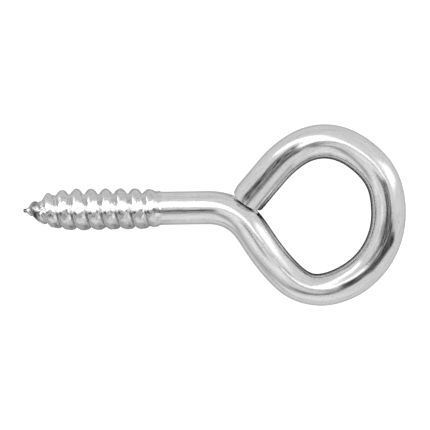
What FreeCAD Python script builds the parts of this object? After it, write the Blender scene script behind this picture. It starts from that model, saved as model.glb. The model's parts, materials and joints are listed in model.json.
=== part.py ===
import FreeCAD, Part
import Sketcher
import math
import os

# A 60 mm screw eye, bent from one length of bright zinc-plated steel wire.
#
# The wire starts at a gimlet point, carries a rolled wood thread, runs on as a plain shank,
# turns down at the neck, goes round the eye and comes back to the neck, where it is sheared off.
# It is one piece of metal. Each body below is one stretch of that wire, and neighbours share
# the flat section where they meet.
#
# Frame, in millimetres: the origin is the middle of the eye, half-way through the wire.
# +X runs from the point towards the eye, parallel to the shank. +Y is the side of the closing
# leg, and +Z is square to the plane of the eye. Left turns are left-handed seen from +Z.

Vector = FreeCAD.Vector
Rotation = FreeCAD.Rotation
Placement = FreeCAD.Placement
PARTS_FOLDER = "parts"

# Driving dimensions: lengths in millimetres, turns in degrees.
DIMENSIONS = {
    # shank and thread
    "shank_length": 29.13,       # point to the start of the neck bend
    "shank_dia": 5.2,
    "point_length": 5.0,         # cone that carries the first turns of the thread
    "point_tip_dia": 0.7,
    "point_tip_length": 0.8,     # the straight nib ahead of the cone
    "runout_start": 18.7,        # where the ridge begins to sink
    "thread_end": 21.75,         # where the run-out meets the plain shank
    "thread_root_dia": 4.86,
    "thread_major_dia": 6.4,
    "thread_pitch": 2.28,
    "ridge_base_width": 2.0,
    "ridge_top_width": 1.0,
    "ridge_sink": 0.3,           # how far the ridge's foot reaches into the core
    "crest_offset": 1.4,         # point to the first crest on the +Y side
    "point_ridge_base": 1.5,     # the ridge is smaller on the cone
    "point_ridge_top": 0.7,
    "point_ridge_rise": 0.55,
    # eye
    "eye_wire_dia": 5.4,
    "eye_along": 46.75,          # point to the middle of the eye, along the shank
    "eye_below": 1.45,           # middle of the eye below the shank's axis
    "neck_radius": 7.73,
    "neck_turn": 57.2,
    "lower_leg_run": 2.78,
    "lower_leg_radius": 31.3,
    "lower_leg_turn": 11.5,
    "lower_bow_radius": 7.55,
    "lower_bow_turn": 61.9,
    "crown_low_radius": 11.98,
    "crown_low_turn": 69.4,
    "crown_mid_radius": 15.38,
    "crown_mid_turn": 16.0,
    "crown_top_radius": 8.65,
    "crown_top_turn": 27.5,
    "shoulder_radius": 13.28,
    "shoulder_turn": 23.0,
    "upper_bow_radius": 8.15,
    "upper_bow_turn": 57.7,
    "closing_radius": 15.6,
    "closing_turn": 19.3,
    "closing_run": 6.08,         # the straight end, as long as the shear leaves it
    "closing_blank": 9.0,        # the same before the shear
    # sheared end
    "shear_tilt": 20.0,          # the +Z side of the cut reaches further
    "shear_skew": 6.0,           # the cut isn't quite square to the wire
}

# Each curved stretch of wire: straight runs ("run", length) and arcs ("left" or "right",
# radius, turn), by the names of their dimensions, in the order that the wire follows.
NECK_BEND = [("right", "neck_radius", "neck_turn")]
LOWER_LEG = [("run", "lower_leg_run"), ("left", "lower_leg_radius", "lower_leg_turn")]
LOWER_BOW = [("left", "lower_bow_radius", "lower_bow_turn")]
CROWN = [
    ("left", "crown_low_radius", "crown_low_turn"),
    ("left", "crown_mid_radius", "crown_mid_turn"),
    ("left", "crown_top_radius", "crown_top_turn"),
]
UPPER_BOW = [
    ("left", "shoulder_radius", "shoulder_turn"),
    ("left", "upper_bow_radius", "upper_bow_turn"),
]
CLOSING_LEG = [("left", "closing_radius", "closing_turn"), ("run", "closing_blank")]

# The closing leg is drawn from its free end back to the eye, so its turn is the other way.
CLOSING_LEG_REVERSED = [
    ("run", "closing_blank"),
    ("right", "closing_radius", "closing_turn"),
]

document = FreeCAD.newDocument("screw_eye")
sheet = document.addObject("Spreadsheet::Sheet", "dims")
for row, (alias, value) in enumerate(DIMENSIONS.items(), start=1):
    sheet.set(f"A{row}", alias.replace("_", " "))
    sheet.set(f"B{row}", str(value))
    sheet.setAlias(f"B{row}", alias)
document.recompute()


def size(expression):
    """The number that an expression of sheet cells, such as dims.shank_dia / 2, comes to."""
    return float(sheet.evalExpression(expression))


def new_body(label, placement):
    body = document.addObject("PartDesign::Body", label)
    body.Label = label
    body.Placement = placement
    return body


def new_sketch(body, name, role):
    """A sketch on one of the body's own origin planes."""
    sketch = body.newObject("Sketcher::SketchObject", name)
    plane = next(item for item in body.Origin.OriginFeatures if item.Role == role)
    sketch.AttachmentSupport = [(plane, "")]
    sketch.MapMode = "FlatFace"
    return sketch


def bind(sketch, constraint, name, expression):
    """Add a dimension to a sketch and bind it to an expression of sheet cells."""
    index = sketch.addConstraint(constraint)
    sketch.renameConstraint(index, name)
    sketch.setExpression(f"Constraints.{name}", expression)


def draw_outline(sketch, corners):
    """A closed polygon, with both coordinates of every corner bound to the sheet."""
    points = [Vector(size(across), size(up), 0) for across, up in corners]
    count = len(points)
    for index in range(count):
        sketch.addGeometry(Part.LineSegment(points[index], points[(index + 1) % count]))
    for index in range(count):
        following = (index + 1) % count
        sketch.addConstraint(Sketcher.Constraint("Coincident", index, 2, following, 1))
    for index, (across, up) in enumerate(corners):
        for kind, expression in (("DistanceX", across), ("DistanceY", up)):
            constraint = Sketcher.Constraint(kind, -1, 1, index, 1, size(expression))
            bind(sketch, constraint, f"corner_{index}_{kind}", f"({expression}) * 1mm")


def draw_circle(sketch, diameter):
    sketch.addGeometry(Part.Circle(Vector(), Vector(0, 0, 1), size(diameter) / 2))
    sketch.addConstraint(Sketcher.Constraint("Coincident", 0, 3, -1, 1))
    constraint = Sketcher.Constraint("Diameter", 0, size(diameter))
    bind(sketch, constraint, "diameter", f"{diameter} * 1mm")


def full_turn(body, kind, sketch, name):
    """A Revolution or a Groove: the sketch turned once about its own horizontal axis."""
    feature = body.newObject(f"PartDesign::{kind}", name)
    feature.Profile = sketch
    feature.ReferenceAxis = (sketch, ["H_Axis"])
    feature.Angle = 360
    document.recompute()


# Placements along the wire ------------------------------------------------------------------

def turn_about_z(degrees):
    return Rotation(Vector(0, 0, 1), degrees)


def run_end(run):
    """Where one run or arc ends, seen from its own start with the wire heading along +X."""
    if run[0] == "run":
        return Placement(Vector(size(f"dims.{run[1]}"), 0, 0), Rotation())
    side = 1 if run[0] == "left" else -1
    radius = size(f"dims.{run[1]}")
    turn = size(f"dims.{run[2]}")
    along = radius * math.sin(math.radians(turn))
    across = side * radius * (1 - math.cos(math.radians(turn)))
    return Placement(Vector(along, across, 0), turn_about_z(side * turn))


def stretch_end(start, runs):
    for run in runs:
        start = start * run_end(run)
    return start


# Shank and thread ---------------------------------------------------------------------------

def wind_ridge(body, section, height):
    """A right-hand ridge: the section wound about the shank's axis, towards the neck."""
    ridge = body.newObject("PartDesign::AdditiveHelix", f"{body.Label}_ridge")
    ridge.Profile = section
    ridge.ReferenceAxis = (section, ["H_Axis"])
    ridge.Mode = "pitch-height-angle"
    ridge.LeftHanded = False
    ridge.Reversed = False
    ridge.setExpression("Pitch", "dims.thread_pitch * 1mm")
    ridge.setExpression("Height", f"({height}) * 1mm")
    return ridge


def trim(body, name, corners):
    """Take off everything inside an outline turned about the shank's axis."""
    sketch = new_sketch(body, f"{body.Label}_{name}_outline", "XY_Plane")
    draw_outline(sketch, corners)
    document.recompute()
    full_turn(body, "Groove", sketch, f"{body.Label}_{name}")


def make_point(tip):
    """The gimlet point: a nib and a cone, with the thread's first turns rising on it."""
    body = new_body("gimlet_point", tip)
    core = new_sketch(body, "point_core_section", "XY_Plane")
    draw_outline(core, [
        ("0", "0"),
        ("dims.point_length", "0"),
        ("dims.point_length", "dims.thread_root_dia / 2"),
        ("dims.point_tip_length", "dims.point_tip_dia / 2"),
        ("0", "dims.point_tip_dia / 4"),
    ])
    document.recompute()
    full_turn(body, "Revolution", core, "point_core")
    rise = "(dims.thread_root_dia - dims.point_tip_dia) / 2"
    slope = f"({rise} / (dims.point_length - dims.point_tip_length))"
    crest = "dims.crest_offset"
    cone = f"(dims.point_tip_dia / 2 + {slope} * ({crest} - dims.point_tip_length))"
    base = "dims.point_ridge_base / 2"
    top = "dims.point_ridge_top / 2"
    section = new_sketch(body, "point_ridge_section", "XY_Plane")
    draw_outline(section, [
        (f"{crest} - {base}", f"{cone} - dims.ridge_sink / 2 - {slope} * {base}"),
        (f"{crest} + {base}", f"{cone} - dims.ridge_sink / 2 + {slope} * {base}"),
        (f"{crest} + {top}", f"{cone} + dims.point_ridge_rise + {slope} * {top}"),
        (f"{crest} - {top}", f"{cone} + dims.point_ridge_rise - {slope} * {top}"),
    ])
    document.recompute()
    height = "dims.point_length + dims.ridge_base_width / 2 - dims.crest_offset"
    ridge = wind_ridge(body, section, height)
    ridge.setExpression("Angle", f"atan({slope})")
    document.recompute()
    clear = "dims.thread_major_dia"
    trim(body, "trim", [
        ("dims.point_length", "0"),
        ("dims.point_length + 3 * dims.thread_pitch", "0"),
        ("dims.point_length + 3 * dims.thread_pitch", clear),
        ("dims.point_length", clear),
    ])
    return body


def make_thread(tip):
    """The wood thread, from the cone's end to the run-out."""
    body = new_body("wood_thread", tip)
    core = new_sketch(body, "thread_core_section", "XY_Plane")
    draw_outline(core, [
        ("dims.point_length", "0"),
        ("dims.thread_end", "0"),
        ("dims.thread_end", "dims.shank_dia / 2"),
        ("dims.thread_end - dims.thread_pitch / 2", "dims.thread_root_dia / 2"),
        ("dims.point_length", "dims.thread_root_dia / 2"),
    ])
    document.recompute()
    full_turn(body, "Revolution", core, "thread_core")
    crest = "dims.crest_offset"
    foot = "dims.thread_root_dia / 2 - dims.ridge_sink"
    base = "dims.ridge_base_width / 2"
    top = "dims.ridge_top_width / 2"
    section = new_sketch(body, "thread_ridge_section", "XY_Plane")
    draw_outline(section, [
        (f"{crest} - {base}", foot),
        (f"{crest} + {base}", foot),
        (f"{crest} + {top}", "dims.thread_major_dia / 2"),
        (f"{crest} - {top}", "dims.thread_major_dia / 2"),
    ])
    document.recompute()
    wind_ridge(body, section, "dims.thread_end + dims.thread_pitch - dims.crest_offset")
    document.recompute()
    clear = "dims.thread_major_dia"
    trim(body, "front_trim", [
        ("-dims.thread_pitch", "0"),
        ("dims.point_length", "0"),
        ("dims.point_length", "dims.thread_root_dia / 2 + dims.point_ridge_rise"),
        ("dims.point_length + dims.thread_pitch", "dims.thread_major_dia / 2"),
        ("dims.point_length + dims.thread_pitch", clear),
        ("-dims.thread_pitch", clear),
    ])
    trim(body, "runout_trim", [
        ("dims.runout_start", "dims.thread_major_dia / 2"),
        ("dims.thread_end", "dims.shank_dia / 2"),
        ("dims.thread_end", "0"),
        ("dims.thread_end + 3 * dims.thread_pitch", "0"),
        ("dims.thread_end + 3 * dims.thread_pitch", clear),
        ("dims.runout_start", clear),
    ])
    return body


def make_shank(tip):
    """The plain shank between the run-out and the neck bend."""
    body = new_body("plain_shank", tip)
    section = new_sketch(body, "shank_section", "XY_Plane")
    draw_outline(section, [
        ("dims.thread_end", "0"),
        ("dims.shank_length", "0"),
        ("dims.shank_length", "dims.shank_dia / 2"),
        ("dims.thread_end", "dims.shank_dia / 2"),
    ])
    document.recompute()
    full_turn(body, "Revolution", section, "shank_turned")
    return body


# Bent wire ----------------------------------------------------------------------------------

def draw_path(sketch, runs):
    """Tangent lines and arcs from the sketch's origin, heading along its horizontal axis."""
    start = Placement()
    previous = None
    for index, run in enumerate(runs):
        end = start * run_end(run)
        if run[0] == "run":
            sketch.addGeometry(Part.LineSegment(start.Base, end.Base))
            first, last = 1, 2
            length = size(f"dims.{run[1]}")
            bind(sketch, Sketcher.Constraint("Distance", index, length), run[1],
                 f"dims.{run[1]} * 1mm")
        else:
            side = 1 if run[0] == "left" else -1
            radius = size(f"dims.{run[1]}")
            turn = math.radians(size(f"dims.{run[2]}"))
            centre = start.multVec(Vector(0, side * radius, 0))
            heading = start.Rotation.toEuler()[0]
            begin = math.radians(heading) - side * math.pi / 2
            low, high = sorted((begin, begin + side * turn))
            circle = Part.Circle(centre, Vector(0, 0, 1), radius)
            sketch.addGeometry(Part.ArcOfCircle(circle, low, high))
            first, last = (1, 2) if side > 0 else (2, 1)
            bind(sketch, Sketcher.Constraint("Radius", index, radius), run[1],
                 f"dims.{run[1]} * 1mm")
            bind(sketch, Sketcher.Constraint("Angle", index, turn), run[2],
                 f"dims.{run[2]} * 1deg")
        if previous is None:
            sketch.addConstraint(Sketcher.Constraint("Coincident", index, first, -1, 1))
            if run[0] == "run":
                sketch.addConstraint(Sketcher.Constraint("Horizontal", index))
            else:
                sketch.addConstraint(Sketcher.Constraint("PointOnObject", index, 3, -2))
        else:
            joint = Sketcher.Constraint("Tangent", index - 1, previous, index, first)
            sketch.addConstraint(joint)
        previous = last
        start = end


def make_wire(label, placement, runs):
    """One stretch of the eye's wire: a round section along straight runs and arcs."""
    body = new_body(label, placement)
    path = new_sketch(body, f"{label}_path", "XY_Plane")
    draw_path(path, runs)
    section = new_sketch(body, f"{label}_section", "YZ_Plane")
    draw_circle(section, "dims.eye_wire_dia")
    document.recompute()
    pipe = body.newObject("PartDesign::AdditivePipe", f"{label}_wire")
    pipe.Profile = section
    pipe.Spine = path
    document.recompute()
    return body


def make_neck_bend(placement):
    """The neck bend, where the section grows from the shank's to the eye's."""
    body = new_body("neck_bend", placement)
    path = new_sketch(body, "neck_path", "XY_Plane")
    draw_path(path, NECK_BEND)
    shank_end = new_sketch(body, "neck_shank_section", "YZ_Plane")
    draw_circle(shank_end, "dims.shank_dia")
    eye_end = new_sketch(body, "neck_eye_section", "YZ_Plane")
    draw_circle(eye_end, "dims.eye_wire_dia")
    across = "-dims.neck_radius * (1 - cos(dims.neck_turn)) * 1mm"
    along = "dims.neck_radius * sin(dims.neck_turn) * 1mm"
    eye_end.AttachmentOffset = Placement(Vector(), Rotation(Vector(0, 1, 0), -1))
    eye_end.setExpression("AttachmentOffset.Base.x", across)
    eye_end.setExpression("AttachmentOffset.Base.z", along)
    eye_end.setExpression("AttachmentOffset.Rotation.Axis.y", "-1")
    eye_end.setExpression("AttachmentOffset.Rotation.Angle", "dims.neck_turn * 1deg")
    document.recompute()
    pipe = body.newObject("PartDesign::AdditivePipe", "neck_wire")
    pipe.Profile = shank_end
    pipe.Spine = path
    pipe.Transformation = "Multisection"
    pipe.Sections = [(eye_end, [""])]
    document.recompute()
    return body


def make_closing_leg(end):
    """The leg that closes the eye. Its free end, at the neck, is sheared off at a slant."""
    back_along_wire = end * Placement(Vector(), turn_about_z(180))
    body = make_wire("closing_leg", back_along_wire, CLOSING_LEG_REVERSED)
    reach = "dims.eye_wire_dia"
    cut_line = "(dims.closing_blank - dims.closing_run)"
    lean = "dims.eye_wire_dia * tan(dims.shear_tilt)"
    shear = new_sketch(body, "shear_outline", "XZ_Plane")
    shear.AttachmentOffset = Placement(Vector(), Rotation(Vector(0, 1, 0), 1))
    shear.setExpression("AttachmentOffset.Rotation.Angle", "dims.shear_skew * 1deg")
    draw_outline(shear, [
        (f"{cut_line} - {lean}", reach),
        (f"-{reach}", reach),
        (f"-{reach}", f"-{reach}"),
        (f"{cut_line} + {lean}", f"-{reach}"),
    ])
    document.recompute()
    cut = body.newObject("PartDesign::Pocket", "shear")
    cut.Profile = shear
    cut.Midplane = True
    cut.Type = "ThroughAll"
    document.recompute()
    return body


# Make, check and write ----------------------------------------------------------------------

tip = Placement(Vector(-size("dims.eye_along"), size("dims.eye_below"), 0), Rotation())
neck_start = tip * Placement(Vector(size("dims.shank_length"), 0, 0), Rotation())
lower_leg_start = stretch_end(neck_start, NECK_BEND)
lower_bow_start = stretch_end(lower_leg_start, LOWER_LEG)
crown_start = stretch_end(lower_bow_start, LOWER_BOW)
upper_bow_start = stretch_end(crown_start, CROWN)
closing_leg_start = stretch_end(upper_bow_start, UPPER_BOW)
closing_leg_end = stretch_end(closing_leg_start, CLOSING_LEG)

sub_parts = [
    make_point(tip),
    make_thread(tip),
    make_shank(tip),
    make_neck_bend(neck_start),
    make_wire("lower_leg", lower_leg_start, LOWER_LEG),
    make_wire("lower_bow", lower_bow_start, LOWER_BOW),
    make_wire("crown", crown_start, CROWN),
    make_wire("upper_bow", upper_bow_start, UPPER_BOW),
    make_closing_leg(closing_leg_end),
]
document.recompute()

for item in document.Objects:
    if "Invalid" in item.State or "Error" in item.State:
        raise RuntimeError(f"{item.Name} failed: {item.State}")
for body in sub_parts:
    if body.Shape.isNull() or not body.Shape.isValid():
        raise RuntimeError(f"{body.Label} has no valid shape")
    if len(body.Shape.Solids) != 1:
        raise RuntimeError(f"{body.Label} has {len(body.Shape.Solids)} solids")

os.makedirs(PARTS_FOLDER, exist_ok=True)
for body in sub_parts:
    body.Shape.exportStep(os.path.join(PARTS_FOLDER, f"{body.Label}.step"))
    print(f"{body.Label}: {body.Shape.Volume:.1f} mm3")
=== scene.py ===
"""Looks of the screw eye: one bright zinc-plated wire, point, thread, shank, eye and sheared end.

The wire's surface is one formula: a radius at each place along the bent centreline and round
the section. It is meshed once and divided at the CAD nodes' boundaries, so each CAD node has a
finer piece of its own and the shading runs through without a seam.
Wire sizes are in millimetres, as in the CAD model, and become metres in the meshes.
"""

import json
import math

import bpy
import numpy as np
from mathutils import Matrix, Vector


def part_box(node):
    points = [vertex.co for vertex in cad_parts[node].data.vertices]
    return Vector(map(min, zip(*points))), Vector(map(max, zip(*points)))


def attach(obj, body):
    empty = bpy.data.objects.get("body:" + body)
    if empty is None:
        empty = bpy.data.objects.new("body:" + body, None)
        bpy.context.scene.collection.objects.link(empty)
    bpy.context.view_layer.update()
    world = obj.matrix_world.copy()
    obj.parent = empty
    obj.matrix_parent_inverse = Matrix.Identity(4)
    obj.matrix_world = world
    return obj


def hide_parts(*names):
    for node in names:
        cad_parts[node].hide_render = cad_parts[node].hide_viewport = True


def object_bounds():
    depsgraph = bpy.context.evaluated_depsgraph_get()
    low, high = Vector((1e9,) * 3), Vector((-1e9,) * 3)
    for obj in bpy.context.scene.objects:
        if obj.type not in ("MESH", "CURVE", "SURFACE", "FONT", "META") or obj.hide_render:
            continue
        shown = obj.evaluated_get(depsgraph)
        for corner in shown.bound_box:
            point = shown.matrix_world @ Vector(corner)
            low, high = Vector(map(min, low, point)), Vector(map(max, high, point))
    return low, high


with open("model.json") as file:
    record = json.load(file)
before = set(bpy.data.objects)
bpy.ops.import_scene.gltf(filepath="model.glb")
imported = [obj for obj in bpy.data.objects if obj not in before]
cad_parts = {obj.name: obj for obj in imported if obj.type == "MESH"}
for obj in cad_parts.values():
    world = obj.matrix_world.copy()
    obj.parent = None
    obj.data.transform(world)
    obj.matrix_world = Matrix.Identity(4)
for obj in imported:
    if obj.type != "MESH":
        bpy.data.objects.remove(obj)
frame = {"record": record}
cad_low, cad_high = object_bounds()

MM = 0.001

# The bent wire, from the point to the sheared end: the node that each stretch belongs to,
# then its runs and arcs as (length, radius, turn in degrees). A straight run has no radius.
SHANK_LENGTH = 29.13
POINT_END = 5.0
THREAD_END = 21.75
STRETCHES = [
    ("gimlet_point", [(POINT_END, None, 0)]),
    ("wood_thread", [(THREAD_END - POINT_END, None, 0)]),
    ("plain_shank", [(SHANK_LENGTH - THREAD_END, None, 0)]),
    ("neck_bend", [(None, 7.73, -57.2)]),
    ("lower_leg", [(2.78, None, 0), (None, 31.3, 11.5)]),
    ("lower_bow", [(None, 7.55, 61.9)]),
    ("crown", [(None, 11.98, 69.4), (None, 15.38, 16.0), (None, 8.65, 27.5)]),
    ("upper_bow", [(None, 13.28, 23.0), (None, 8.15, 57.7)]),
    ("closing_leg", [(None, 15.6, 19.3), (6.08, None, 0)]),
]
EYE_RADIUS = 2.70
BEND_EASE = 0.55        # how far the start and end of each arc are eased, along the wire

# Thread
PITCH = 2.295
FIRST_CREST = 1.43      # from the point to the first crest on the +Y side
CREST_LIMIT = 3.19      # rolling flattens what would stand higher above the eye's plane
CREST_LEAN = 0.02       # how far the crests lean over, in pitches
RIDGE_FADES = (21.0, 21.7)      # where the ridge runs out into the shank
LUMP_HEIGHT = 0.017     # usual height of the lumps that rolling leaves
VALLEY_SHADE = 0.70      # how dark and dull the painted shade in the narrow valleys is
VALLEY_EDGE = (0.42, 0.50)      # pitches from the crest where that begins and is full
VALLEY_SIDE = (-0.30, 0.15)     # cosines of the angle round the wire where it ends

# Sheared end
SHEAR_TILT = math.radians(20)   # how far the cut slants from top to bottom
SHEAR_SKEW = math.radians(6)    # how far it slants from one side of the wire to the other
SHEAR_BLEND = 4.0       # length over which the rings lean over to the cut
SHEAR_ROLL = 0.22       # how far shearing drags the edge over on the outside of the ring
EDGE_ROUND = 0.08       # radius of the cut's edge
CUT_WEAR = 0.15         # how dull the cut face is
CUT_RINGS = (0.3, 0.7, 1.2, 1.8, 2.4)   # the cut face's rings of vertices, inwards from the edge

# Bending leaves the wire slightly uneven, and the bend under the eye presses it flat inside.
WAVE_DEPTH = 0.006      # usual depth of the unevenness
BEND_FLAT = 0.22        # depth of the flat
BEND_FLAT_PLACE = 50.2
BEND_FLAT_REACH = 2.2

# Mesh density
AROUND = 128
THREAD_STEP = 0.07
WIRE_STEP = 0.25
CENTRE_STEP = 0.02


# The centreline -----------------------------------------------------------------------------

def run_length(run):
    length, radius, turn = run
    return length if radius is None else radius * math.radians(abs(turn))


def stretch_bounds():
    """(node, start, end) along the wire for each stretch."""
    bounds = []
    start = 0.0
    for node, runs in STRETCHES:
        end = start + sum(run_length(run) for run in runs)
        bounds.append((node, start, end))
        start = end
    return bounds


BOUNDS = stretch_bounds()
WIRE_END = BOUNDS[-1][2]


def smooth(values, step, width):
    """A running average with a bell-shaped weight of the given width."""
    reach = int(3 * width / step)
    offsets = np.arange(-reach, reach + 1) * step
    weights = np.exp(-0.5 * (offsets / width) ** 2)
    padded = np.pad(values, reach, mode="edge")
    return np.convolve(padded, weights / weights.sum(), mode="valid")


def running_total(values, step):
    """The integral of evenly spaced values, from the first of them."""
    steps = (values[1:] + values[:-1]) * step / 2
    return np.concatenate([[0.0], np.cumsum(steps)])


def make_centreline():
    """Distance along the wire, x, y and heading, on an even grid that runs past both ends."""
    along = np.arange(-3.0, WIRE_END + 4.0, CENTRE_STEP)
    heading = np.zeros_like(along)
    start = 0.0
    for _, runs in STRETCHES:
        for run in runs:
            length = run_length(run)
            heading += math.radians(run[2]) * np.clip((along - start) / length, 0, 1)
            start += length
    x = running_total(np.cos(heading), CENTRE_STEP)
    y = running_total(np.sin(heading), CENTRE_STEP)
    x -= np.interp(0.0, along, x)
    y -= np.interp(0.0, along, y)
    inside = int(3 * BEND_EASE / CENTRE_STEP)
    eased = [smooth(values, CENTRE_STEP, BEND_EASE) for values in (x, y, heading)]
    return [values[inside:-inside] for values in [along] + eased]


CENTRELINE = make_centreline()


# The surface --------------------------------------------------------------------------------

def smoothstep(low, high, value):
    t = np.clip((value - low) / (high - low), 0, 1)
    return t * t * (3 - 2 * t)


def within(along, grows, fades):
    """1 on a stretch of the wire, with a smooth start and a smooth end."""
    return smoothstep(*grows, along) * (1 - smoothstep(*fades, along))


def turned_from(angle, around):
    """The turn from an angle round the wire, from -pi to pi."""
    return np.angle(np.exp(1j * (around - angle)))


def spot(away, turned, reach, spread):
    """1 at a place on the wire, with a bell-shaped fall along the wire and round it."""
    return np.exp(-(away / reach) ** 2 - (turned / spread) ** 2)


def profile(along, places, radii, softness):
    """A smoothed line through radii given at places along the wire."""
    grid = np.arange(-0.5, WIRE_END + 3, CENTRE_STEP)
    radius = smooth(np.interp(grid, places, radii), CENTRE_STEP, softness)
    return np.interp(along, grid, radius)


def core_radius(along):
    """The wire without its ridge: nib, cone, thread root, plain shank, and the thicker eye."""
    places = [0, 0.1, 0.4, 0.75, 1.1, 1.5, 2.0, 3.0, 4.4, 6.0, 8.0,
              18.6, 19.2, 19.9, 21.2, SHANK_LENGTH, 33, 36, 43.5, 47, 50.5, 53.5, 57, 97.5]
    radii = [0.16, 0.26, 0.24, 0.40, 0.62, 0.86, 1.10, 1.55, 2.18, 2.32, 2.40,
             2.40, 2.46, 2.56, 2.60, 2.60, 2.63, 2.66, 2.67, 2.64, 2.59, 2.61, 2.69, 2.69]
    nib = profile(along, places, radii, 0.08)
    rest = profile(along, places, radii, 0.30)
    return nib + (rest - nib) * smoothstep(1.2, 2.4, along)


def crest_radius(along):
    """The radius over the ridge, which fades out into the plain shank."""
    places = [0.6, 1.1, 1.6, 2.8, 3.7, 4.9, 5.9, 7.2, 8.3, 12,
              18.7, 19.7, 20.8, 21.3, 21.75]
    radii = [0.36, 1.10, 1.38, 2.02, 2.68, 2.80, 3.10, 3.18, 3.27, 3.22,
             3.20, 3.04, 2.92, 2.70, 2.60]
    return profile(along, places, radii, 0.18)


def ridge_offset(along, around):
    """Distance from the nearest crest in pitches, from -0.5 to 0.5. The crests lean a little."""
    turn = (along - FIRST_CREST) / PITCH - around / (2 * math.pi)
    across = turn - np.round(turn)
    lean = CREST_LEAN * (1 - np.cos(around)) + CREST_LEAN * np.sin(around) ** 2
    return across - 4 * lean * (0.25 - across ** 2)


def ridge_shape(along, around):
    """The thread's section over one pitch: 1 on the crest and 0 in the valley.

    Flat dies press the ridge broad above and below the eye's plane and leave it rounder at
    the sides, most of all on the +Y side. On the point it is narrower.
    """
    side = np.cos(around)
    pressed = np.sin(around) ** 2
    half_width = 0.515 - 0.065 * side - 0.005 * pressed
    half_width = half_width - 0.10 * (1 - smoothstep(3.5, 6.0, along))
    power = 2.50 - 0.40 * side + 0.90 * pressed
    across = np.abs(ridge_offset(along, around))
    return 1 - np.clip(across / half_width, 0, 1) ** power


# Burrs that rolling left: place along the wire, angle round it, reach along and round, height.
BURRS = [
    (4.72, 0.0, 0.20, 0.35, 0.14),
    (21.15, 0.05, 0.45, 0.45, 0.13),
    (1.65, 1.2, 0.18, 0.5, 0.10),
]


def burr_height(along, around):
    total = np.zeros(np.broadcast(along, around).shape)
    for place, angle, reach, spread, height in BURRS:
        total += height * spot(along - place, turned_from(angle, around), reach, spread)
    return total


def make_waves(count, longest, shortest, most_lobes, seed):
    """Waves over the wire's surface: (along frequency, lobes, phase, strength) rows."""
    random = np.random.default_rng(seed)
    waves = []
    for _ in range(count):
        wavelength = math.exp(random.uniform(math.log(shortest), math.log(longest)))
        lobes = int(random.integers(0, most_lobes + 1))
        phase = random.uniform(0, 2 * math.pi)
        waves.append((2 * math.pi / wavelength, lobes, phase, wavelength ** 0.5))
    return waves


def wave_height(waves, along, around):
    """The sum of the waves, scaled so that its usual swing is about one."""
    total = np.zeros(np.broadcast(along, around).shape)
    power = 0.0
    for frequency, lobes, phase, strength in waves:
        total += strength * np.sin(frequency * along + lobes * around + phase)
        power += strength ** 2 / 2
    return total / math.sqrt(power)


BEND_WAVES = make_waves(18, 16.0, 4.0, 3, seed=11)      # unevenness that bending leaves
ROLL_WAVES = make_waves(40, 2.5, 0.4, 14, seed=5)       # lumps that thread rolling leaves


def wire_radius(along, around):
    """Radius of the wire's surface at a place along it and an angle round it."""
    core = core_radius(along)
    ridge = np.maximum(crest_radius(along) - core, 0)
    ridge = ridge * (1 - smoothstep(*RIDGE_FADES, along))
    radius = core + ridge * ridge_shape(along, around) + burr_height(along, around)
    in_thread = within(along, (0.5, 3.0), (20.5, 22.5))
    radius = radius + LUMP_HEIGHT * in_thread * wave_height(ROLL_WAVES, along, around)
    past_thread = smoothstep(24, 32, along)
    radius = radius + WAVE_DEPTH * past_thread * (wave_height(BEND_WAVES, along, around) - 1)
    inner = np.maximum(np.cos(around), 0) ** 2
    from_flat = (along - BEND_FLAT_PLACE) / BEND_FLAT_REACH
    radius = radius - BEND_FLAT * inner * np.exp(-from_flat ** 2)
    rolled = np.maximum(-np.cos(around), 0) ** 3 * smoothstep(-0.9, 0.2, along - WIRE_END)
    radius = radius - SHEAR_ROLL * rolled
    limit = CREST_LIMIT / np.maximum(np.abs(np.sin(around)), 0.5)
    return np.minimum(radius, limit)


# Painted dark reflections along the wire, with streaks in them: start and end along the wire,
# angle round it at the start and at the end in degrees, half width in degrees and depth.
DARK_REFLECTIONS = [
    (19.6, 31.0, 100, 100, 5, 0.85),
    (37.0, 47.0, 89, 79, 3, 0.45),
    (47.0, 56.5, 113, 99, 4, 0.50),
    (54.0, 64.0, 93, 95, 9, 1.00),
    (59.0, 66.0, 96, 96, 12, 1.00),
    (63.0, 69.0, 92, 87, 10, 1.00),
    (66.0, 75.5, 87, 86, 6, 1.00),
    (90.0, 103.0, 91, 98, 13, 1.00),
    (92.0, 103.0, 54, 51, 4, 0.40),
]
REFLECTION_FADE = 1.5        # over this length a mark begins and ends
# Dark spots on the point and the run-out: place along the wire, angle round it in degrees, reach,
# spread and depth.
DARK_SPOTS = [
    (0.10, 90, 0.45, 180, 1.2),
    (1.80, 90, 0.80, 180, 0.80),
    (2.00, 122, 0.36, 26, 1.60),
    (20.6, 97, 0.30, 9, 0.90),
]
# Painted shade on every ridge's flank: pitches past the crest, angle round the wire in degrees,
# reach in pitches, spread and depth.
RIDGE_SHADE = (0.25, 147, 0.14, 14, 0.65)


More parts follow.
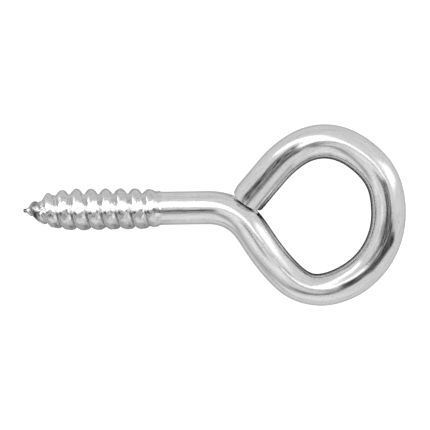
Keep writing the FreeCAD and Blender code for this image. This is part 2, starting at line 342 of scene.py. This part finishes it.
def wear_and_shade(along, around):
    """How dark and dull the plating is painted: dark reflections along the wire, dark spots, and
    painted shade on every ridge's flank and in the narrow valleys.

    0 is clean, and 1 or more is fully darkened.
    """
    total = np.zeros(np.broadcast(along, around).shape)
    # Painted dark reflections along the wire.
    for start, end, first_angle, last_angle, half_width, depth in DARK_REFLECTIONS:
        share = np.clip((along - start) / (end - start), 0, 1)
        angle = np.radians(first_angle + share * (last_angle - first_angle))
        turned = np.abs(turned_from(angle, around))
        across = 1 - smoothstep(0.6, 1.3, turned / math.radians(half_width))
        ends = smoothstep(0, REFLECTION_FADE, along - start) * smoothstep(0, REFLECTION_FADE, end - along)
        total = np.maximum(total, depth * across * ends)
    for place, angle, reach, spread, depth in DARK_SPOTS:
        turned = turned_from(math.radians(angle), around)
        dark_spot = spot(along - place, turned, reach, math.radians(spread))
        total = np.maximum(total, depth * dark_spot)
    # Painted shade in the narrow valleys on one side of the thread.
    narrow = 1 - smoothstep(*VALLEY_SIDE, np.cos(around))
    in_thread = within(along, (3.0, 4.5), (19.5, 21.0))
    across = ridge_offset(along, around)
    valley = smoothstep(*VALLEY_EDGE, np.abs(across))
    total = np.maximum(total, VALLEY_SHADE * valley * narrow * in_thread)
    # Painted shade on the flank past each crest, where the shaded floor is mirrored.
    offset, angle, reach, spread, depth = RIDGE_SHADE
    turned = turned_from(math.radians(angle), around)
    ridge_shade = spot(across - offset, turned, reach, math.radians(spread))
    return np.maximum(total, depth * ridge_shade * in_thread)


def wire_points(along, around, radius):
    """Points of the surface in the row frame, in millimetres."""
    grid, grid_x, grid_y, grid_heading = CENTRELINE
    x = np.interp(along, grid, grid_x)
    y = np.interp(along, grid, grid_y)
    heading = np.interp(along, grid, grid_heading)
    side = radius * np.cos(around)
    up = radius * np.sin(around)
    return np.stack([x - np.sin(heading) * side, y + np.cos(heading) * side, up], axis=-1)


def ring_places():
    """Distances along the wire at which it gets a ring of vertices, with every boundary."""
    places = [np.array([0.03, 0.08])]
    for _, start, end in BOUNDS:
        step = THREAD_STEP if end <= THREAD_END else WIRE_STEP
        count = round((end - start) / step)
        even = np.linspace(start, end, count + 1)[1:]
        places.append(even[even > 0.1])
    return np.concatenate(places)


def make_rings():
    """The whole wire as [ring, angle] arrays: points, the same points before bending, and wear
    and painted shade.

    The places along the wire of the rings before the cut come first.
    """
    places = ring_places()
    angles = np.arange(AROUND) * 2 * math.pi / AROUND
    along, around = np.meshgrid(places, angles, indexing="ij")
    radius = wire_radius(along, around)

    # The last rings lean over until they lie in the slanted cut.
    rim = radius[-1]
    side = np.cos(angles) * rim
    up = np.sin(angles) * rim
    lean = math.tan(SHEAR_TILT) * up - math.tan(SHEAR_SKEW) * side
    blend = np.clip((along - (WIRE_END - SHEAR_BLEND)) / SHEAR_BLEND, 0, 1)
    along = along + blend * (lean - EDGE_ROUND)

    # Across the cut: a rounded edge, then flat rings in towards the middle.
    turned = [math.radians(turn) for turn in (30, 60, 90)]
    steps = [(EDGE_ROUND * (1 - math.cos(t)), EDGE_ROUND * (1 - math.sin(t))) for t in turned]
    steps += [(inward, 0.0) for inward in CUT_RINGS]
    for inward, back in steps:
        share = 1 - inward / EYE_RADIUS
        along = np.vstack([along, WIRE_END + lean * share - back])
        radius = np.vstack([radius, share * rim])

    unbent = np.stack([along, radius * np.cos(angles), radius * np.sin(angles)], axis=-1)
    worn_and_shaded = wear_and_shade(along, np.broadcast_to(angles, along.shape))
    worn_and_shaded[-len(steps):] = CUT_WEAR
    return places, wire_points(along, angles, radius), unbent, worn_and_shaded


def surface_normals(points):
    """Outward normals of the continuous surface, from the neighbours along and round it."""
    along = np.gradient(points, axis=0)
    around = np.roll(points, -1, axis=1) - np.roll(points, 1, axis=1)
    normals = np.cross(around, along)
    return normals / np.linalg.norm(normals, axis=-1, keepdims=True)


# Pieces -------------------------------------------------------------------------------------

def tube_faces(count):
    """Corners of the faces between successive rings, and of a fan that closes each end."""
    ring = np.arange(AROUND)
    following = (ring + 1) % AROUND
    low = (np.arange(count - 1) * AROUND)[:, None]
    high = low + AROUND
    sides = np.stack([low + ring, low + following, high + following, high + ring], axis=-1)
    last = (count - 1) * AROUND
    middle = np.full(AROUND, count * AROUND)
    first_fan = np.stack([following, ring, middle], axis=-1)
    last_fan = np.stack([last + ring, last + following, middle + 1], axis=-1)
    return sides.reshape(-1, 4), first_fan, last_fan


def make_piece(node, points, normals, unbent, worn_and_shaded, offset):
    """A closed tube from rings of points, shaded by the whole wire's normals."""
    sides, first_fan, last_fan = tube_faces(len(points))
    middles = np.stack([points[0].mean(axis=0), points[-1].mean(axis=0)])
    vertices = np.concatenate([points.reshape(-1, 3), middles]) * MM + offset
    mesh = bpy.data.meshes.new(f"{node}_surface")
    faces = sides.tolist() + first_fan.tolist() + last_fan.tolist()
    mesh.from_pydata(vertices.tolist(), [], faces)
    mesh.update()

    corner_normals = [normals.reshape(-1, 3)[sides.reshape(-1)]]
    for fan in (first_fan, last_fan):
        corner, following, middle = vertices[fan[0]]
        square = np.cross(following - corner, middle - corner)
        corner_normals.append(np.tile(square / np.linalg.norm(square), (fan.size, 1)))
    mesh.polygons.foreach_set("use_smooth", np.ones(len(mesh.polygons), dtype=bool))
    mesh.normals_split_custom_set(np.concatenate(corner_normals).tolist())

    # The materials' grain follows the wire, so it is laid out on the wire before bending. Each
    # end's middle comes last, as in the vertices.
    straight = np.stack([unbent[0].mean(axis=0), unbent[-1].mean(axis=0)])
    straight = np.concatenate([unbent.reshape(-1, 3), straight])
    attribute = mesh.attributes.new("unbent", "FLOAT_VECTOR", "POINT")
    attribute.data.foreach_set("vector", straight.ravel())
    worn_and_shaded = np.concatenate([worn_and_shaded.ravel(), [worn_and_shaded[0].mean(), worn_and_shaded[-1].mean()]])
    # The mesh's marks of wear and of painted shade and dark reflections.
    attribute = mesh.attributes.new("worn_and_shaded", "FLOAT", "POINT")
    attribute.data.foreach_set("value", worn_and_shaded)
    piece = bpy.data.objects.new(f"{node}_surface", mesh)
    bpy.context.scene.collection.objects.link(piece)
    return piece


def make_wire(materials):
    """One finished piece for each CAD node, all on the single rigid body."""
    places, points, unbent, worn_and_shaded = make_rings()
    normals = surface_normals(points)
    tip_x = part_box("gimlet_point")[0][0]
    shank_low, shank_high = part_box("plain_shank")
    offset = np.array([tip_x, (shank_low[1] + shank_high[1]) / 2, 0.0])
    slots = {row["node"]: row["material_slot"] for row in frame["record"]["subparts"]}
    pieces = {}
    for node, start, end in BOUNDS:
        first = int(np.argmin(np.abs(places - start)))
        last = int(np.argmin(np.abs(places - end)))
        stop = last + 1 if end < WIRE_END else len(points)
        part = slice(first, stop)
        piece = make_piece(node, points[part], normals[part], unbent[part], worn_and_shaded[part], offset)
        piece.data.materials.append(materials[slots[node]])
        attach(piece, "root")
        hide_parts(node)
        pieces[node] = piece
    return pieces


# Shader nodes -------------------------------------------------------------------------------

class Graph:
    """Adds shader nodes: each call makes one node and gives its output."""

    def __init__(self, owner):
        owner.use_nodes = True
        self.tree = owner.node_tree
        self.tree.nodes.clear()

    def node(self, kind, inputs=None, **settings):
        made = self.tree.nodes.new(kind)
        for name, value in settings.items():
            setattr(made, name, value)
        for name, value in (inputs or {}).items():
            self.feed(made.inputs[name], value)
        return made

    def feed(self, socket, value):
        if isinstance(value, bpy.types.NodeSocket):
            self.tree.links.new(value, socket)
        else:
            socket.default_value = value

    def math(self, operation, first, second=0.0):
        made = self.node("ShaderNodeMath", {0: first, 1: second}, operation=operation)
        return made.outputs[0]

    def vector_math(self, operation, first, second=(0.0, 0.0, 0.0), output="Vector"):
        made = self.node("ShaderNodeVectorMath", {0: first, 1: second}, operation=operation)
        return made.outputs[output]

    def between(self, value, low, high, to_low=0.0, to_high=1.0):
        """A smooth step of value from low to high, as to_low to to_high."""
        inputs = {"Value": value, "From Min": low, "From Max": high,
                  "To Min": to_low, "To Max": to_high}
        made = self.node("ShaderNodeMapRange", inputs, interpolation_type="SMOOTHSTEP")
        return made.outputs["Result"]

    def blend(self, factor, low, high):
        made = self.node("ShaderNodeMix", {"Factor": factor, "A": low, "B": high})
        return made.outputs["Result"]

    def noise(self, vector, stretch, detail=2.0, roughness=0.5):
        """Noise over a vector, with its own scale along each axis."""
        scaled = self.vector_math("MULTIPLY", vector, stretch)
        inputs = {"Vector": scaled, "Scale": 1.0, "Detail": detail, "Roughness": roughness}
        return self.node("ShaderNodeTexNoise", inputs).outputs["Fac"]

    def grey(self, value):
        """One number as a colour."""
        inputs = {"Red": value, "Green": value, "Blue": value}
        return self.node("ShaderNodeCombineColor", inputs).outputs["Color"]


# Materials ----------------------------------------------------------------------------------

WORN_AND_SHADED_TONE = 0.07        # how bright the plating is where wear or painted shade darkens it fully
WORN_AND_SHADED_SHINE = 0.30       # how dull it is there
SPECK_TONE = 0.30       # how bright its specks are


def zinc(name, brightness, grain, pits, dullness, specks):
    """Bright zinc plate: drawing lines along the wire, pits, specks and slightly uneven gloss.

    Where the mesh marks wear or painted shade, it is darker and duller, in streaks along the
    wire.
    """
    material = bpy.data.materials.new(name)
    graph = Graph(material)
    unbent = graph.node("ShaderNodeAttribute", attribute_name="unbent").outputs["Vector"]
    worn_and_shaded = graph.node("ShaderNodeAttribute", attribute_name="worn_and_shaded").outputs["Fac"]
    lines = graph.noise(unbent, (0.22, 2.6, 2.6), detail=3.0, roughness=0.55)
    streaks = graph.noise(unbent, (0.45, 6.5, 6.5), detail=2.0, roughness=0.6)
    pitting = graph.noise(unbent, (3.2, 4.2, 4.2), detail=3.0, roughness=0.6)
    patches = graph.noise(unbent, (0.30, 0.8, 0.8), detail=2.0)

    height = graph.math("MULTIPLY", lines, grain)
    height = graph.math("ADD", height, graph.math("MULTIPLY", pitting, pits))
    bump = graph.node("ShaderNodeBump", {"Height": height, "Strength": 1.0, "Distance": MM})
    streaky = graph.between(streaks, 0.32, 0.66, 1.10, 0.62)
    worn_and_shaded = graph.math("MULTIPLY", worn_and_shaded, streaky)
    worn_and_shaded = graph.math("MINIMUM", worn_and_shaded, 1.0)
    shine = graph.between(patches, 0.3, 0.7, dullness * 0.8, dullness * 1.25)
    shine = graph.blend(worn_and_shaded, shine, WORN_AND_SHADED_SHINE)
    tone = graph.between(streaks, 0.3, 0.7, brightness - 0.06, brightness + 0.06)
    speckled = graph.between(pitting, 0.60, 0.68, 0.0, specks)
    tone = graph.blend(speckled, tone, SPECK_TONE)
    # Painted shade and dark reflections darken the plating here, and real dullness on the cut
    # face.
    tone = graph.blend(worn_and_shaded, tone, WORN_AND_SHADED_TONE)

    surface = graph.node("ShaderNodeBsdfPrincipled", {
        "Base Color": graph.grey(tone),
        "Metallic": 1.0,
        "Roughness": shine,
        "Normal": bump.outputs["Normal"],
    })
    graph.node("ShaderNodeOutputMaterial", {"Surface": surface.outputs["BSDF"]})
    return material


def make_materials():
    wire = zinc("zinc_plated_wire", brightness=0.84, grain=0.013, pits=0.006,
                dullness=0.12, specks=0.4)
    thread = zinc("zinc_plated_thread", brightness=0.76, grain=0.006, pits=0.020,
                  dullness=0.14, specks=0.9)
    return {"zinc_plated_wire": wire, "zinc_plated_thread": thread}


# Floor, surroundings and camera -------------------------------------------------------------

LAST_CREST = 3.5 * MM           # from the thread's end back to its last full crest
FLOOR_REACH = 3.0               # metres each way
FLOOR_MIRRORED = 0.68           # the floor's brightness where the metal mirrors it
FLOOR_TWICE_MIRRORED = 1.2      # as a share of that, where it is mirrored more than once
FLOOR_PAINT = 0.50              # the floor's colour where the camera sees it
FLOOR_GLOW = 0.82               # the light it gives there, which keeps the ground pale
SHADE_REACH = 0.0075            # how far from the wire the mirrored floor is in its shade
SHADE_SKY = (0.76, 0.96)        # the share of open sky in full shade and in no shade
SHADE_OUTSIDE = 0.60            # how dark that shade is: a share of the floor's brightness
SHADE_INSIDE = 0.03             # the same inside the eye
EYE_EDGE = (0.010, 0.013)       # distances from the eye's middle that are inside and outside
THREAD_EDGE = (-0.028, -0.022)  # x beside the thread, and past it
NEAR_EDGE = (-0.002, 0.004)     # y on the thread's near side, and past it
NEAR_SHADE = 0.72               # the floor's brightness there, as a share
SURROUND = 0.905                # the studio's usual brightness

# Bright and dark areas of the studio that the metal mirrors. Each is an ellipse in the plane of
# the mirroring normal, where (0, 0) is straight up and the rim is level with the floor:
# centre x, centre y, half length, half width, turn in degrees, softness and brightness.
STUDIO_AREAS = [
    (0.00, 1.00, 1.00, 0.42, 0, 0.35, 0.76),        # ceiling past the far lamp
    (-0.10, -0.57, 0.50, 0.14, 0, 0.5, 1.02),       # pale wall on the near side
    (-0.05, -1.00, 0.90, 0.28, 0, 0.3, 0.70),
    (0.64, -0.62, 0.42, 0.19, 45, 0.6, 0.45),       # open doorway
    (0.70, -0.62, 0.34, 0.11, 45, 0.6, 0.06),
    (-0.42, -0.42, 0.30, 0.06, -3, 0.6, 0.56),      # edge of the table
    (-0.07, -0.33, 0.18, 0.05, 24, 0.6, 0.42),
    (0.085, -0.15, 0.14, 0.035, -80, 0.6, 0.30),    # tripod leg
    (-0.42, 0.02, 0.17, 0.035, 88, 0.6, 1.25),      # panel seams
    (-0.15, -0.17, 0.17, 0.045, 42, 0.6, 1.25),
    (0.055, 0.13, 0.11, 0.035, 102, 0.5, 2.00),     # far lamp
    (-0.01, 0.27, 0.12, 0.060, 124, 0.5, 1.90),
    (0.00, 0.09, 0.13, 0.050, 160, 0.5, 1.80),
    (0.45, 0.20, 0.20, 0.080, 26, 0.5, 2.00),       # side lamp
    (0.68, 0.33, 0.17, 0.080, 25, 0.6, 1.20),
    (-0.13, 0.12, 0.08, 0.035, 130, 0.6, 0.35),     # camera and its arm
    (-0.27, 0.08, 0.13, 0.040, 170, 0.7, 0.42),
    (-0.15, -0.07, 0.08, 0.055, 60, 0.6, 0.22),
    (-0.13, 0.03, 0.09, 0.075, 0, 0.5, 0.05),
    (0.30, -0.105, 0.21, 0.050, -16, 0.45, 0.00),   # black card
    (-0.45, -0.22, 0.32, 0.080, -5, 0.5, 0.05),     # shade that only the thread mirrors
]
# Cards that only some nodes of the wire mirror: those nodes, and an area as above, whose
# brightness is added.
THREAD = ("gimlet_point", "wood_thread")
EYE = ("neck_bend", "lower_leg", "lower_bow", "crown", "upper_bow")
WIRE = ("plain_shank", "closing_leg") + EYE
CARDS = {
    "thread_strip": (THREAD, (-0.05, 0.14, 1.10, 0.165, 5, 0.20, 1.30)),
    "thread_side": (("wood_thread",), (-0.70, 0.28, 0.36, 0.24, 0, 0.3, 1.00)),
    "point_side": (("gimlet_point",), (-0.62, 0.26, 0.34, 0.24, 0, 0.3, 0.25)),
    "thread_floor": (THREAD, (-0.45, -0.86, 0.62, 0.16, 0, 0.5, 0.22)),
    "thread_right": (THREAD, (0.50, -0.24, 0.34, 0.12, 15, 0.5, 0.35)),
    "shank_lamp": (("plain_shank",), (0.00, 0.13, 0.20, 0.07, 0, 0.4, 0.60)),
    "wire_lamp": (WIRE, (-0.18, 0.41, 0.15, 0.045, 160, 0.6, 1.10)),
    "wire_fill": (WIRE, (-0.45, -0.22, 0.32, 0.080, -5, 0.5, 0.84)),
    "right_fill": (EYE, (0.66, -0.60, 0.42, 0.17, 45, 0.5, 0.45)),
}
CARD_DISTANCE = 0.4
CARD_STEPS = 33                 # a card's vertices each way
STEEPEST_MIRROR = 0.93          # cards stop short of the rim
CARD_DROP = 4.4 * MM            # from the mirroring surface down to a card on the floor


def mirrored_direction(x, y):
    """Where the camera's straight-down view goes when the surface's normal is (x, y, up)."""
    up = math.sqrt(max(1 - x * x - y * y, 0.0))
    return np.array([2 * up * x, 2 * up * y, 2 * up * up - 1])


def make_card(name, area, pieces):
    """A glowing, otherwise clear sheet that covers an area and lights the given pieces."""
    centre_x, centre_y, half_length, half_width, turn, softness, brightness = area
    cos, sin = math.cos(math.radians(turn)), math.sin(math.radians(turn))
    steps = np.linspace(-1 - softness, 1 + softness, CARD_STEPS)
    corners, strengths = [], []
    for across in steps:
        for along in steps:
            x = centre_x + along * half_length * cos - across * half_width * sin
            y = centre_y + along * half_length * sin + across * half_width * cos
            inside = 1 - smoothstep(1 - softness, 1 + softness, math.hypot(along, across))
            reach = math.hypot(x, y) / STEEPEST_MIRROR
            if reach > 1:
                x, y = x / reach, y / reach
            direction = mirrored_direction(x, y)
            distance = CARD_DISTANCE
            if direction[2] < 0:
                distance = min(distance, CARD_DROP / -direction[2])
            corners.append(direction * distance)
            strengths.append(float(inside) * brightness)
    count = len(steps)
    faces = [(row * count + column, row * count + column + 1,
              (row + 1) * count + column + 1, (row + 1) * count + column)
             for row in range(count - 1) for column in range(count - 1)]
    middle = sum(pieces[0].bound_box[corner][0] for corner in (0, 6)) / 2
    mesh = bpy.data.meshes.new(name)
    mesh.from_pydata([tuple(corner + (middle, 0, 0)) for corner in corners], [], faces)
    glow = mesh.attributes.new("glow", "FLOAT", "POINT")
    glow.data.foreach_set("value", strengths)
    card = bpy.data.objects.new(name, mesh)
    bpy.context.scene.collection.objects.link(card)
    card.visible_camera = False
    card.visible_diffuse = False
    card.visible_shadow = False
    lit = bpy.data.collections.new(f"{name}_lights")
    for piece in pieces:
        lit.objects.link(piece)
    card.light_linking.receiver_collection = lit

    material = bpy.data.materials.new(name)
    graph = Graph(material)
    strength = graph.node("ShaderNodeAttribute", attribute_name="glow").outputs["Fac"]
    light = graph.node("ShaderNodeEmission", {"Strength": strength}).outputs["Emission"]
    clear = graph.node("ShaderNodeBsdfTransparent").outputs["BSDF"]
    both = graph.node("ShaderNodeAddShader", {0: clear, 1: light}).outputs["Shader"]
    graph.node("ShaderNodeOutputMaterial", {"Surface": both})
    mesh.materials.append(material)


def make_cards(pieces):
    for name, (nodes, area) in CARDS.items():
        make_card(name, area, [pieces[node] for node in nodes])


def make_floor():
    """A pale floor that touches the thread's last full crest and the eye's far side.

    Where the metal mirrors it, it is in the wire's shade.
    """
    crest_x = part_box("wood_thread")[1][0] - LAST_CREST
    crest_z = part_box("wood_thread")[0][2]
    crown_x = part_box("crown")[1][0] - EYE_RADIUS * MM
    crown_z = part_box("crown")[0][2]
    slope = (crown_z - crest_z) / (crown_x - crest_x)
    corners = []
    for x, y in ((-1, -1), (1, -1), (1, 1), (-1, 1)):
        x *= FLOOR_REACH
        corners.append((x, y * FLOOR_REACH, crest_z + slope * (x - crest_x)))
    mesh = bpy.data.meshes.new("floor")
    mesh.from_pydata(corners, [], [(0, 1, 2, 3)])
    floor = bpy.data.objects.new("floor", mesh)
    bpy.context.scene.collection.objects.link(floor)

    material = bpy.data.materials.new("floor")
    graph = Graph(material)
    light_path = graph.node("ShaderNodeLightPath")
    seen = light_path.outputs["Is Camera Ray"]
    open_sky = graph.node("ShaderNodeAmbientOcclusion", {"Distance": SHADE_REACH}, samples=4)
    lit = graph.between(open_sky.outputs["AO"], *SHADE_SKY)
    place = graph.node("ShaderNodeNewGeometry").outputs["Position"]
    from_eye = graph.vector_math("LENGTH", place, output="Value")
    shaded = graph.between(from_eye, *EYE_EDGE, SHADE_INSIDE, SHADE_OUTSIDE)
    mirrored = graph.blend(lit, shaded, 1.0)
    sides = graph.node("ShaderNodeSeparateXYZ", {"Vector": place}).outputs
    by_thread = graph.between(sides["X"], *THREAD_EDGE, 1.0, 0.0)
    near_side = graph.between(sides["Y"], *NEAR_EDGE, 1.0, 0.0)
    near_side = graph.math("MULTIPLY", by_thread, near_side)
    mirrored = graph.math("MULTIPLY", mirrored, graph.blend(near_side, 1.0, NEAR_SHADE))
    again = graph.math("GREATER_THAN", light_path.outputs["Ray Depth"], 1.5)
    mirrored = graph.blend(again, mirrored, FLOOR_TWICE_MIRRORED)
    mirrored = graph.math("MULTIPLY", mirrored, FLOOR_MIRRORED)
    tone = graph.math("MULTIPLY", seen, FLOOR_PAINT)
    paint = graph.node("ShaderNodeBsdfDiffuse", {"Color": graph.grey(tone)}).outputs["BSDF"]
    glow = graph.blend(seen, mirrored, FLOOR_GLOW)
    light = graph.node("ShaderNodeEmission", {"Strength": glow}).outputs["Emission"]
    both = graph.node("ShaderNodeAddShader", {0: paint, 1: light}).outputs["Shader"]
    graph.node("ShaderNodeOutputMaterial", {"Surface": both})
    mesh.materials.append(material)


def make_surroundings():
    """A light studio with soft bright and dark areas all round, and plain white behind."""
    world = bpy.data.worlds.new("studio")
    bpy.context.scene.world = world
    graph = Graph(world)
    direction = graph.node("ShaderNodeTexCoord").outputs["Generated"]
    halfway = graph.vector_math("ADD", direction, (0.0, 0.0, 1.0))
    halfway = graph.vector_math("NORMALIZE", halfway)
    flat = graph.vector_math("MULTIPLY", halfway, (1.0, 1.0, 0.0))
    place = graph.vector_math("ADD", flat, (0.0, 0.0, 1.0))
    brightness = SURROUND
    for x, y, half_length, half_width, turn, softness, value in STUDIO_AREAS:
        cos, sin = math.cos(math.radians(turn)), math.sin(math.radians(turn))
        lengthwise = (cos / half_length, sin / half_length, -(x * cos + y * sin) / half_length)
        widthwise = (-sin / half_width, cos / half_width, (x * sin - y * cos) / half_width)
        across = graph.vector_math("DOT_PRODUCT", place, lengthwise, output="Value")
        up = graph.vector_math("DOT_PRODUCT", place, widthwise, output="Value")
        offset = graph.node("ShaderNodeCombineXYZ", {"X": across, "Y": up}).outputs["Vector"]
        distance = graph.vector_math("LENGTH", offset, output="Value")
        inside = graph.between(distance, 1 - softness, 1 + softness, 1.0, 0.0)
        brightness = graph.blend(inside, brightness, value)
    seen = graph.node("ShaderNodeLightPath").outputs["Is Camera Ray"]
    brightness = graph.blend(seen, brightness, 1.0)
    light = graph.node("ShaderNodeBackground", {"Strength": brightness})
    graph.node("ShaderNodeOutputWorld", {"Surface": light.outputs["Background"]})


CAMERA_HEIGHT = 0.195           # above the middle of the wire
PICTURE_WIDTH = 0.0674          # what the picture takes in at that height
CAMERA_ROLL = math.radians(-0.83)
CAMERA_SHIFT = (0.00005, 0.0003)    # from the middle of the object's box


def make_camera():
    """Straight above the object's middle, looking down, with +X to the right."""
    lens = bpy.data.cameras.new("camera")
    lens.sensor_width = 36.0
    lens.lens = lens.sensor_width * CAMERA_HEIGHT / PICTURE_WIDTH
    lens.clip_start = 0.01
    camera = bpy.data.objects.new("camera", lens)
    bpy.context.scene.collection.objects.link(camera)
    middle = (cad_low + cad_high) / 2
    camera.location = (middle.x + CAMERA_SHIFT[0], middle.y + CAMERA_SHIFT[1], CAMERA_HEIGHT)
    camera.rotation_euler = (0.0, 0.0, CAMERA_ROLL)
    bpy.context.scene.camera = camera


make_camera()
wire_pieces = make_wire(make_materials())
make_floor()
make_surroundings()
make_cards(wire_pieces)
bpy.context.scene.view_settings.view_transform = "Standard"
